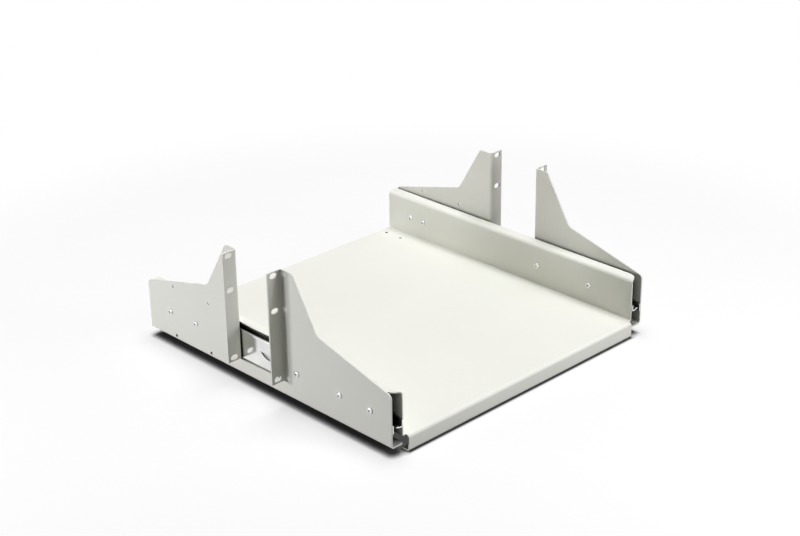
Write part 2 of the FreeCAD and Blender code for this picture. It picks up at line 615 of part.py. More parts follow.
def bumper(side):
    """Make the rear stop that sits in the end of the outer channel."""
    body = new_body(f"{NAMES[side]}_slide_rear_bumper", f"{side} * plate_inside",
                    "outer_front + outer_length", "slide_centre")
    block = new_sketch(body, "BlockOutline", "XZ_Plane")
    near = inward(side, "slide_sheet")
    far = inward(side, "slide_sheet + bumper_width")
    draw(block, box(near, "-bumper_height / 2", far, "bumper_height / 2"))
    pad(body, block, "bumper_length", "Block")
    round_edges(body, "BlockCorners", "bumper_corner", (far, None, "bumper_height / 2"),
                (far, None, "-bumper_height / 2"))
    return body


def shelf_tray():
    """Fold the tray: deck, two side walls with flanges, and a hemmed lip at either end."""
    body = new_body("shelf_tray")
    under = "deck_height - tray_sheet"
    wall = "wall_outside"
    face = "wall_outside - tray_sheet"
    turn = "wall_bend + tray_sheet"
    edge = "rim_width / 2"
    curl = "rim_bend + tray_sheet"
    below = "tray_height - tray_sheet"
    rim_centre = (f"{wall} + rim_bend", f"{below} - rim_bend")
    right = (("0", under),
             (f"{wall} - ({turn})", under, (f"{wall} - ({turn})", f"{under} + {turn}", turn)),
             (wall, f"{under} + {turn}"),
             (wall, f"{below} - rim_bend", rim_centre + ("rim_bend",)),
             (f"{wall} + rim_bend", below),
             (edge, below),
             (edge, "tray_height"),
             (f"{wall} + rim_bend", "tray_height", rim_centre + (curl,)),
             (face, f"{below} - rim_bend"),
             (face, "deck_height + wall_bend",
              (f"{face} - wall_bend", "deck_height + wall_bend", "wall_bend")),
             (f"{face} - wall_bend", "deck_height"))
    left = []
    for index in range(len(right) - 1, 0, -1):
        corner = (f"-({right[index][0]})", right[index][1])
        if len(right[index - 1]) == 3:
            arc = right[index - 1][2]
            corner += ((f"-({arc[0]})", arc[1], arc[2]),)
        left.append(corner)
    section = new_sketch(body, "TraySection", "XZ_Plane", "-wall_rear")
    draw(section, right[1:] + tuple(left))
    pad(body, section, "wall_rear - wall_front", "DeckAndWalls")

    top = new_sketch(body, "RimFrontCornerOutlines", "XY_Plane", "tray_height")
    for sign in ("", "-"):
        tangent = f"({edge} - rim_front_corner)"
        middle = (f"{sign}{tangent}", "wall_front + rim_front_corner", "rim_front_corner")
        draw(top, ((f"{sign}({edge})", "wall_front + rim_front_corner", middle),
                   (f"{sign}{tangent}", "wall_front"),
                   (f"{sign}{tangent}", "wall_front - tray_sheet"),
                   (f"{sign}({edge} + tray_sheet)", "wall_front - tray_sheet"),
                   (f"{sign}({edge} + tray_sheet)", "wall_front + rim_front_corner")))
    cut(body, top, "RimFrontCorners", "rim_bend + 2 * tray_sheet")
    round_edges(body, "RimRearCorners", "rim_rear_corner", (edge, "wall_rear", None),
                (f"-{edge}", "wall_rear", None))

    for name, sign, root in (("Front", "-", "-wall_front"), ("Rear", "", "wall_rear")):
        lip = new_sketch(body, name + "LipSection", "YZ_Plane")
        out = "tray_length / 2"
        inside = f"({out} - tray_sheet)"
        bend = "lip_bend + tray_sheet"
        hem = "hem_bend + tray_sheet"
        axis = f"({out} - ({bend}))"
        foot = f"({out} - ({hem}))"
        stop = f"({out} - hem_depth)"
        base = f"({root} - lip_overlap)"
        half = ((base, "deck_height"),
                (axis, "deck_height", (axis, f"deck_height - ({bend})", bend)),
                (out, f"deck_height - ({bend})"),
                (out, hem, (foot, hem, hem)),
                (foot, "0"),
                (stop, "0"),
                (stop, "tray_sheet"),
                (foot, "tray_sheet", (foot, hem, "hem_bend")),
                (inside, hem),
                (inside, f"deck_height - ({bend})", (axis, f"deck_height - ({bend})", "lip_bend")),
                (axis, under),
                (base, under))
        corners = []
        for corner in half:
            placed = (f"{sign}({corner[0]})", corner[1])
            if len(corner) == 3:
                placed += ((f"{sign}({corner[2][0]})", corner[2][1], corner[2][2]),)
            corners.append(placed)
        draw(lip, corners)
        pad(body, lip, "lip_width", name + "Lip", symmetric=True)

    holes = new_sketch(body, "SlideScrewHoles", "YZ_Plane")
    draw_circles(holes, [(place, "slide_centre") for place in TRAY_SCREWS], "slide_hole")
    cut(body, holes, "SlideScrewCuts")
    small = new_sketch(body, "DeckHoles", "XY_Plane", under)
    centres = [(f"{sign}deck_hole_across", place) for sign in ("", "-") for place in DECK_HOLES]
    draw_circles(small, centres, "small_hole")
    cut(body, small, "DeckHoleCuts", "tray_sheet", backward=True)
    return body


bodies = [shelf_tray()]
for hand in (LEFT, RIGHT):
    bodies.append(bracket(hand))
    bodies.append(outer_member(hand))
    bodies.append(intermediate_member(hand))
    bodies.append(inner_member(hand))
    for ring in ("outer", "inner"):
        bodies.append(cage(hand, ring))
        bodies.append(balls(hand, ring))
    bodies.append(screws(hand, "bracket_screws", "bracket_width / 2", BRACKET_SCREWS,
                         "bracket_sheet + slide_sheet - 0.1", True))
    bodies.append(screws(hand, "tray_screws", "(wall_outside - tray_sheet)", TRAY_SCREWS,
                         "tray_sheet + slide_sheet - 0.1", False))
    bodies.append(bumper(hand))

document.recompute()
for item in document.Objects:
    if "Invalid" in item.State or "Error" in item.State:
        raise ValueError(f"{item.Label} is {item.State}")
for body in bodies:
    if body.Shape.isNull() or not body.Shape.isValid():
        raise ValueError(f"{body.Label} has no valid shape")
    body.Shape.exportStep(f"parts/{body.Label}.step")
    print(body.Label, len(body.Shape.Solids), round(body.Shape.Volume, 1))
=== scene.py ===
"""Looks of a sliding equipment shelf for a two-post rack: finishes, screws, balls, light and camera."""

import logging
import math
from dataclasses import dataclass, field
from enum import Enum

import bpy
import bmesh
from mathutils import Matrix, Vector


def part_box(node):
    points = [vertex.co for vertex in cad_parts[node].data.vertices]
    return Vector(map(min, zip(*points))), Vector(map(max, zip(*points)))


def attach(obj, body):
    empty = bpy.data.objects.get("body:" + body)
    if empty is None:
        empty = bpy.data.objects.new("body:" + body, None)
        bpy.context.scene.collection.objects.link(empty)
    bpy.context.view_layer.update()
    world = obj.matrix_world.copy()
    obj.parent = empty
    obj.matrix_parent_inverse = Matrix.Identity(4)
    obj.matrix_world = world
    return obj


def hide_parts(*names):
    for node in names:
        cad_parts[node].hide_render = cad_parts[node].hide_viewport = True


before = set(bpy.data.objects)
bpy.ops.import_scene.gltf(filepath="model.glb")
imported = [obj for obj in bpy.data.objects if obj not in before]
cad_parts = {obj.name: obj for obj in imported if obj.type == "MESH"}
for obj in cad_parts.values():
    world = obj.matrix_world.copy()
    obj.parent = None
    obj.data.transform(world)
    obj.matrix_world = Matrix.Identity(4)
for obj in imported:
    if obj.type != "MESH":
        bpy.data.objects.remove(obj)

log = logging.getLogger("shelf")
logging.basicConfig(level=logging.INFO, format="%(message)s")

MM = 0.001
SLIDE_MIDDLE = 47.5 * MM
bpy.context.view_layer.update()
Triple = tuple[float, float, float]


class Side(Enum):
    """The two hands of the brackets and slides, with the sign of their X."""

    LEFT = -1
    RIGHT = 1

    @property
    def label(self) -> str:
        """Give the word that node names begin with."""
        return self.name.lower()


class Axis(Enum):
    """The direction in which a rolled or brushed surface is drawn out."""

    ALONG_X = (0.02, 1.0, 1.0)
    ALONG_Y = (1.0, 0.02, 1.0)


class NodeBuilder:
    """Adds nodes to one tree, sets their options and sets or links their inputs."""

    def __init__(self, tree: bpy.types.NodeTree) -> None:
        """Take the tree to build in.

        Args:
            tree: a material's, world's or geometry tree.
        """
        self.tree = tree

    def add(self, kind: str, inputs: dict[str | int, object] | None = None,
            **settings: object) -> bpy.types.Node:
        """Add a node, set its options and set or link its inputs.

        Args:
            kind: the node's type.
            inputs: values or output sockets, by input name or number; a list links each of its sockets.
            settings: the node's own options.

        Returns:
            The new node.
        """
        node = self.tree.nodes.new(kind)
        for key, value in settings.items():
            setattr(node, key, value)
        for key, value in (inputs or {}).items():
            sources = value if isinstance(value, list) else [value]
            for source in sources:
                if isinstance(source, bpy.types.NodeSocket):
                    self.tree.links.new(source, node.inputs[key])
                else:
                    node.inputs[key].default_value = source
        return node

    def maths(self, operation: str, first: object, second: object = 0.0) -> bpy.types.NodeSocket:
        """Give the result of one sum.

        Args:
            operation: what is done.
            first: a number or a socket.
            second: a number or a socket.

        Returns:
            The result socket.
        """
        return self.add("ShaderNodeMath", {0: first, 1: second}, operation=operation).outputs[0]

    def layer(self, share: bpy.types.NodeSocket, below: bpy.types.Node,
              above: bpy.types.Node) -> bpy.types.Node:
        """Lay one shader over another.

        Args:
            share: how much of the upper one shows.
            below: the shader that shows at 0.
            above: the shader that shows at 1.

        Returns:
            The mixed shader.
        """
        return self.add("ShaderNodeMixShader", {0: share, 1: below.outputs[0], 2: above.outputs[0]})

    def clear_sight(self) -> bpy.types.NodeSocket:
        """Tell a look at the backdrop, straight or by a reflection, from light that falls on the object.

        Returns:
            A socket that is 1 for camera, glossy and transmission rays.
        """
        rays = self.add("ShaderNodeLightPath")
        sight = rays.outputs["Is Camera Ray"]
        for name in ("Is Glossy Ray", "Is Transmission Ray"):
            sight = self.maths("MAXIMUM", sight, rays.outputs[name])
        return sight


@dataclass(frozen=True)
class Grain:
    """One procedural noise: cells per metre, octaves and the weight of the finer ones."""

    scale: float
    detail: float = 2.0
    roughness: float = 0.5


@dataclass(frozen=True)
class Relief:
    """How far a noise of 1 lifts the surface, in metres, and how much of that counts."""

    height: float
    strength: float


@dataclass(frozen=True)
class Gap:
    """How narrow gaps are told from open faces.

    Walls count up to the reach, in metres. The share of open sky runs from shut, all gap, to clear.
    """

    reach: float
    shut: float
    clear: float


class MaterialBuilder(NodeBuilder):
    """Builds one material on its object coordinates."""

    occlusion_samples: int = 8
    bevel_samples: int = 4

    def __init__(self, name: str) -> None:
        """Start an empty material.

        Args:
            name: the material's name.
        """
        self.material = bpy.data.materials.new(name)
        self.material.use_nodes = True
        super().__init__(self.material.node_tree)
        self.tree.nodes.clear()
        self.output = self.add("ShaderNodeOutputMaterial")
        self.place = self.add("ShaderNodeTexCoord").outputs["Object"]

    def stretched(self, scale: Triple) -> bpy.types.NodeSocket:
        """Give object coordinates drawn out by a scale.

        Args:
            scale: factors along X, Y and Z.

        Returns:
            The vector socket.
        """
        return self.add("ShaderNodeMapping", {"Vector": self.place, "Scale": scale}).outputs["Vector"]

    def noise(self, grain: Grain, vector: bpy.types.NodeSocket | None = None) -> bpy.types.NodeSocket:
        """Give a noise value.

        Args:
            grain: the noise's size and make-up.
            vector: coordinates, the object's own if left out.

        Returns:
            The factor socket.
        """
        return self.add("ShaderNodeTexNoise", {
            "Vector": self.place if vector is None else vector, "Scale": grain.scale,
            "Detail": grain.detail, "Roughness": grain.roughness}).outputs["Fac"]

    def spread(self, value: bpy.types.NodeSocket, low: float, high: float, start: float = 0.3,
               stop: float = 0.7, interpolation: str = "LINEAR") -> bpy.types.NodeSocket:
        """Map a value from one range to another.

        Args:
            value: the socket to read.
            low: result at start.
            high: result at stop.
            start: value that gives low.
            stop: value that gives high.
            interpolation: the way between the two.

        Returns:
            The result socket.
        """
        return self.add("ShaderNodeMapRange", {
            "Value": value, "From Min": start, "From Max": stop, "To Min": low, "To Max": high},
            interpolation_type=interpolation).outputs["Result"]

    def blend(self, factor: bpy.types.NodeSocket, first: Triple | bpy.types.NodeSocket,
              second: Triple | bpy.types.NodeSocket) -> bpy.types.NodeSocket:
        """Mix two colours.

        Args:
            factor: the share of the second colour.
            first: colour at 0, given or linked.
            second: colour at 1, given or linked.

        Returns:
            The colour socket.
        """
        inputs = {0: factor, 6: first, 7: second}
        for key, colour in inputs.items():
            inputs[key] = (*colour, 1.0) if isinstance(colour, tuple) else colour
        return self.add("ShaderNodeMix", inputs, data_type="RGBA").outputs[2]

    def bump(self, height: bpy.types.NodeSocket, relief: Relief,
             normal: bpy.types.NodeSocket) -> bpy.types.NodeSocket:
        """Give a normal raised by a height.

        Args:
            height: the height value.
            relief: how far it lifts the surface.
            normal: the normal to build on.

        Returns:
            The normal socket.
        """
        return self.add("ShaderNodeBump", {
            "Height": height, "Distance": relief.height, "Strength": relief.strength,
            "Normal": normal}).outputs["Normal"]

    def soft_edge(self, radius: float) -> bpy.types.NodeSocket:
        """Give a normal that rounds sharp edges.

        Args:
            radius: the rounding, in metres.

        Returns:
            The normal socket.
        """
        return self.add("ShaderNodeBevel", {"Radius": radius}, samples=self.bevel_samples).outputs["Normal"]

    def openness(self, gap: Gap) -> bpy.types.NodeSocket:
        """Tell the open faces from the inside of a narrow gap or corner.

        Args:
            gap: how far a wall counts, and the shares of open sky that give 0 and 1.

        Returns:
            The result socket.
        """
        sky = self.add("ShaderNodeAmbientOcclusion", {"Distance": gap.reach}, samples=self.occlusion_samples)
        return self.spread(sky.outputs["AO"], 0.0, 1.0, gap.shut, gap.clear)

    def paint_gap_shade(self, colour: bpy.types.NodeSocket, shade: Triple, gap: Gap) -> bpy.types.NodeSocket:
        """Paint shade into a finish where it lies deep in a narrow gap, out of the light's reach.

        Args:
            colour: the finish in the open.
            shade: the colour of the painted shade deep in a gap.
            gap: what counts as a gap.

        Returns:
            The colour socket.
        """
        return self.blend(self.openness(gap), shade, colour)

    def close(self, shader: bpy.types.Node) -> bpy.types.Material:
        """End the tree with a shader.

        Args:
            shader: the shader's node.

        Returns:
            The material.
        """
        self.tree.links.new(shader.outputs[0], self.output.inputs["Surface"])
        return self.material

    def finish(self, **inputs: object) -> bpy.types.Material:
        """End the tree with a Principled shader.

        Args:
            inputs: its inputs, by socket name with _ for a blank.

        Returns:
            The material.
        """
        named = {key.replace("_", " "): value for key, value in inputs.items()}
        return self.close(self.add("ShaderNodeBsdfPrincipled", named))


@dataclass(frozen=True)
class PowderCoat:
    """Baked powder paint: pale, faintly warm, with a fine orange-peel skin and shade painted into its narrow
    gaps.
    """

    name: str
    light: Triple
    dark: Triple
    # gap and shade paint shade into the paint's colour in narrow gaps and corners.
    gap: Gap = Gap(reach=32.0 * MM, shut=0.12, clear=0.36)
    shade: Triple = (0.05, 0.05, 0.046)
    gloss: tuple[float, float] = (0.45, 0.56)
    cloud: Grain = Grain(9.0, 3.0, 0.55)
    wear: Grain = Grain(60.0, 3.0, 0.6)
    peel: Grain = Grain(900.0, 2.0, 0.45)
    peel_relief: Relief = Relief(0.05 * MM, 0.35)
    grit: Grain = Grain(3200.0, 1.0, 0.5)
    grit_relief: Relief = Relief(0.012 * MM, 0.3)
    edge: float = 0.35 * MM
    refraction: float = 1.42

    def material(self) -> bpy.types.Material:
        """Build the paint.

        Returns:
            The material.
        """
        paint = MaterialBuilder(self.name)
        cloud = paint.spread(paint.noise(self.cloud), 0.0, 1.0)
        # Painted shade: the colour turns towards the shade colour deep in narrow gaps.
        colour = paint.paint_gap_shade(paint.blend(cloud, self.light, self.dark), self.shade, self.gap)
        skin = paint.bump(paint.noise(self.peel), self.peel_relief, paint.soft_edge(self.edge))
        skin = paint.bump(paint.noise(self.grit), self.grit_relief, skin)
        rough = paint.spread(paint.noise(self.wear), *self.gloss)
        return paint.finish(Base_Color=colour, Roughness=rough, Normal=skin, IOR=self.refraction)


@dataclass(frozen=True)
class ZincPlate:
    """Bright zinc on rolled or turned steel, with fine drawn lines, faint clouding and shade painted into
    narrow gaps and corners.
    """

    name: str
    axis: Axis
    light: Triple = (0.87, 0.87, 0.845)
    dark: Triple = (0.70, 0.71, 0.70)
    gloss: tuple[float, float] = (0.11, 0.21)
    # gap and shade paint shade into the zinc in narrow gaps; the optional narrow second gap paints a thin
    # dark line of shade along tight corners.
    gap: Gap = Gap(reach=32.0 * MM, shut=0.12, clear=0.4)
    shade: Triple = (0.08, 0.082, 0.086)
    corner_shade: Gap | None = None
    cloud: Grain = Grain(28.0, 4.0, 0.6)
    lines: Grain = Grain(1400.0, 3.0, 0.6)
    line_relief: Relief = Relief(0.01 * MM, 0.4)
    edge: float = 0.2 * MM

    def material(self) -> bpy.types.Material:
        """Build the plating.

        Returns:
            The material.
        """
        zinc = MaterialBuilder(self.name)
        lines = zinc.noise(self.lines, zinc.stretched(self.axis.value))
        plate = zinc.blend(zinc.spread(zinc.noise(self.cloud), 0.0, 1.0), self.light, self.dark)
        # Painted shade: the plating darkens in gaps, and along tight corners when a second, narrow gap is
        # given.
        colour = zinc.paint_gap_shade(plate, self.shade, self.gap)
        if self.corner_shade is not None:
            colour = zinc.paint_gap_shade(colour, self.shade, self.corner_shade)
        rough = zinc.spread(lines, *self.gloss)
        skin = zinc.bump(lines, self.line_relief, zinc.soft_edge(self.edge))
        return zinc.finish(Base_Color=colour, Metallic=1.0, Roughness=rough, Normal=skin)


@dataclass(frozen=True)
class BallSteel:
    """Polished bearing steel under a thin film of grease."""

    name: str = "ball_steel_polished"
    light: Triple = (0.74, 0.75, 0.77)
    dark: Triple = (0.66, 0.65, 0.62)
    gloss: tuple[float, float] = (0.06, 0.2)
    film: Grain = Grain(700.0)
    cloud: Grain = Grain(300.0)

    def material(self) -> bpy.types.Material:
        """Build the steel.

        Returns:
            The material.
        """
        steel = MaterialBuilder(self.name)
        film = steel.spread(steel.noise(self.film), *self.gloss)
        colour = steel.blend(steel.noise(self.cloud), self.light, self.dark)
        return steel.finish(Base_Color=colour, Metallic=1.0, Roughness=film)


@dataclass(frozen=True)
class MouldedPlastic:
    """Black moulded plastic with a fine spark-eroded grain."""

    name: str = "black_moulded_plastic"
    light: Triple = (0.02, 0.02, 0.02)
    dark: Triple = (0.012, 0.012, 0.013)
    gloss: tuple[float, float] = (0.42, 0.6)
    spark: Grain = Grain(2500.0)
    spark_relief: Relief = Relief(0.03 * MM, 0.4)
    cloud: Grain = Grain(80.0)
    edge: float = 0.4 * MM

    def material(self) -> bpy.types.Material:
        """Build the plastic.

        Returns:
            The material.
        """
        plastic = MaterialBuilder(self.name)
        spark = plastic.noise(self.spark)
        skin = plastic.bump(spark, self.spark_relief, plastic.soft_edge(self.edge))
        colour = plastic.blend(plastic.noise(self.cloud), self.dark, self.light)
        return plastic.finish(Base_Color=colour, Roughness=plastic.spread(spark, *self.gloss), Normal=skin)


@dataclass(frozen=True)
class StudioSweep:
    """The floor: pale, and plain white to the camera, with the object's shadow kept.

    To light that falls on the object it is a middling grey. To the camera it is near white, with a painted
    contact shadow darker under the raised feet, except along the front and right edge of the shelf at rest,
    where the real floor is lit. Its shadow is painted lighter away from the object, and the floor ends in
    plain white.
    """

    name: str = "studio_sweep"
    bounce: Triple = (0.25, 0.25, 0.25)
    white: Triple = (1.0, 1.0, 1.0)
    open_floor: Triple = (0.91, 0.91, 0.885)
    # The dark foot tone is a painted contact shadow; foot sets how close to a wall it lies, and the lit
    # front and right edges are left without it.
    painted_foot_shadow: Triple = (0.14, 0.14, 0.14)
    foot: Gap = Gap(reach=13.5 * MM, shut=0.83, clear=0.92)
    lit_front: float = -223.8 * MM
    lit_right: float = 214.0 * MM
    lit_edge: float = 4.0 * MM
    # shade and lift paint white over the floor where it is open, so the object's shadow is painted lighter
    # away from the object.
    shade: Gap = Gap(reach=120.0 * MM, shut=0.2, clear=0.5)
    lift: float = 0.66
    lift_from: float = 0.3
    lift_to: float = 0.9
    shadow_reach: float = 0.55
    white_from: float = 0.85

    def outside_painted_shadow(self, floor: MaterialBuilder) -> bpy.types.NodeSocket:
        """Tell the open floor, and the lit floor in front and on the right, from the floor close under a
        foot, where a contact shadow is painted.

        Args:
            floor: the floor's material.

        Returns:
            A socket that is 0 close under a foot, where the painted contact shadow lies.
        """
        place = floor.add("ShaderNodeSeparateXYZ", {"Vector": floor.place})
        ahead = floor.spread(place.outputs["Y"], 1.0, 0.0, self.lit_front - self.lit_edge, self.lit_front)
        right = floor.spread(place.outputs["X"], 0.0, 1.0, self.lit_right, self.lit_right + self.lit_edge)
        return floor.maths("MAXIMUM", floor.maths("MAXIMUM", floor.openness(self.foot), ahead), right)

    def material(self) -> bpy.types.Material:
        """Build the floor's surface.

        Returns:
            The material.
        """
        floor = MaterialBuilder(self.name)
        diffuse = floor.add("ShaderNodeBsdfDiffuse", {"Color": (*self.bounce, 1.0)})
        white = floor.add("ShaderNodeEmission", {"Color": (*self.white, 1.0), "Strength": 1.0})
        # Painted contact shadow: the floor's tone turns dark close under a foot.
        tone = floor.blend(self.outside_painted_shadow(floor), self.painted_foot_shadow, self.open_floor)
        bright = floor.add("ShaderNodeBsdfDiffuse", {"Color": tone})
        # Painted light: white laid over the open floor lightens the object's shadow.
        raised = floor.spread(tone, 0.0, self.lift, self.lift_from, self.lift_to)
        lifted = floor.layer(floor.maths("MULTIPLY", floor.openness(self.shade), raised), bright, white)
        seen = floor.layer(floor.clear_sight(), diffuse, lifted)
        away = floor.add("ShaderNodeVectorMath", {0: floor.place}, operation="LENGTH").outputs["Value"]
        fade = floor.spread(away, 0.0, 1.0, self.shadow_reach, self.white_from, "SMOOTHSTEP")
        far = floor.maths("MULTIPLY", fade, floor.clear_sight())
        return floor.close(floor.layer(far, seen, white))


@dataclass
class FinishSet:
    """Every finish that the shelf's pieces share."""

    # The tray's paint gets painted shade in gaps up to 32 mm wide.
    tray: bpy.types.Material = field(default_factory=lambda: PowderCoat(
        "tray_powder_coat", light=(0.823, 0.83, 0.735), dark=(0.807, 0.815, 0.72),
        gap=Gap(reach=32.0 * MM, shut=0.12, clear=0.55)).material())
    bracket: bpy.types.Material = field(default_factory=lambda: PowderCoat(
        "bracket_powder_coat", light=(0.755, 0.76, 0.677), dark=(0.74, 0.745, 0.66)).material())
    # The rolled zinc gets painted shade in gaps and a thin painted dark line along tight corners, such as a
    # window's edge.
    rolled_zinc: bpy.types.Material = field(default_factory=lambda: ZincPlate(
        "rolled_zinc", Axis.ALONG_Y, corner_shade=Gap(reach=3.0 * MM, shut=0.62, clear=0.95)).material())
    cage_zinc: bpy.types.Material = field(default_factory=lambda: ZincPlate(
        "cage_zinc", Axis.ALONG_Y, light=(0.66, 0.67, 0.68), dark=(0.5, 0.51, 0.53),
        gloss=(0.28, 0.38)).material())
    # The screws get painted shade in the cross recess and a painted dark ring where the head meets the
    # plate.
    screw_zinc: bpy.types.Material = field(default_factory=lambda: ZincPlate(
        "screw_zinc", Axis.ALONG_X, light=(0.74, 0.75, 0.745), dark=(0.62, 0.63, 0.63),
        gloss=(0.16, 0.26), gap=Gap(reach=1.1 * MM, shut=0.12, clear=0.66),
        shade=(0.05, 0.05, 0.055)).material())
    balls: bpy.types.Material = field(default_factory=lambda: BallSteel().material())
    plastic: bpy.types.Material = field(default_factory=lambda: MouldedPlastic().material())


class RowTree(NodeBuilder):
    """A Geometry Nodes tree with named inputs, which turns marked places into a finished row."""

    def __init__(self, name: str) -> None:
        """Start a tree that takes and gives geometry.

        Args:
            name: the tree's name.
        """
        super().__init__(bpy.data.node_groups.new(name, "GeometryNodeTree"))
        self.sockets: dict[str, str] = {}
        self.offer("Places", "Geometry")
        self.tree.interface.new_socket(name="Row", in_out="OUTPUT", socket_type="NodeSocketGeometry")
        self.entry = self.add("NodeGroupInput")
        self.exit = self.add("NodeGroupOutput")

    def offer(self, name: str, kind: str) -> None:
        """Give the tree one more input.

        Args:
            name: the input's name.
            kind: its type, such as Float.
        """
        socket = self.tree.interface.new_socket(name=name, in_out="INPUT", socket_type=f"NodeSocket{kind}")
        self.sockets[name] = socket.identifier

    def given(self, name: str) -> bpy.types.NodeSocket:
        """Give the socket that carries an input's value.

        Args:
            name: the input's name.

        Returns:
            The output socket of the tree's entry.
        """
        return next(item for item in self.entry.outputs if item.identifier == self.sockets[name])

    def vector(self, x: object = 0.0, y: object = 0.0, z: object = 0.0) -> bpy.types.NodeSocket:
        """Give a vector made of three numbers.

        Args:
            x: a number or a socket.
            y: a number or a socket.
            z: a number or a socket.

        Returns:
            The vector socket.
        """
        return self.add("ShaderNodeCombineXYZ", {"X": x, "Y": y, "Z": z}).outputs[0]

    def close(self, instances: bpy.types.NodeSocket) -> None:
        """End the tree: make the instances real and give them their material.

        Args:
            instances: the geometry socket.
        """
        real = self.add("GeometryNodeRealizeInstances", {"Geometry": instances})
        coated = self.add("GeometryNodeSetMaterial",
                          {"Geometry": real.outputs[0], "Material": self.given("Material")})
        self.tree.links.new(coated.outputs[0], self.exit.inputs[0])

    def grow(self, name: str, places: list[Triple],
             values: dict[str, object]) -> bpy.types.Object:
        """Run the tree on marked places and keep the result as a plain mesh.

        Args:
            name: the new object's name.
            places: where the tree puts its copies.
            values: the tree's inputs by name.

        Returns:
            An object with a plain mesh and no modifier.
        """
        marks = bpy.data.meshes.new(f"{name}_places")
        marks.from_pydata(places, [], [])
        item = bpy.data.objects.new(name, marks)
        bpy.context.scene.collection.objects.link(item)
        modifier = item.modifiers.new("row", "NODES")
        modifier.node_group = self.tree
        for key, value in values.items():
            modifier[self.sockets[key]] = value
        evaluated = item.evaluated_get(bpy.context.evaluated_depsgraph_get())
        mesh = bpy.data.meshes.new_from_object(evaluated)
        mesh.name = name
        item.modifiers.remove(modifier)
        item.data = mesh
        bpy.data.meshes.remove(marks)
        return item


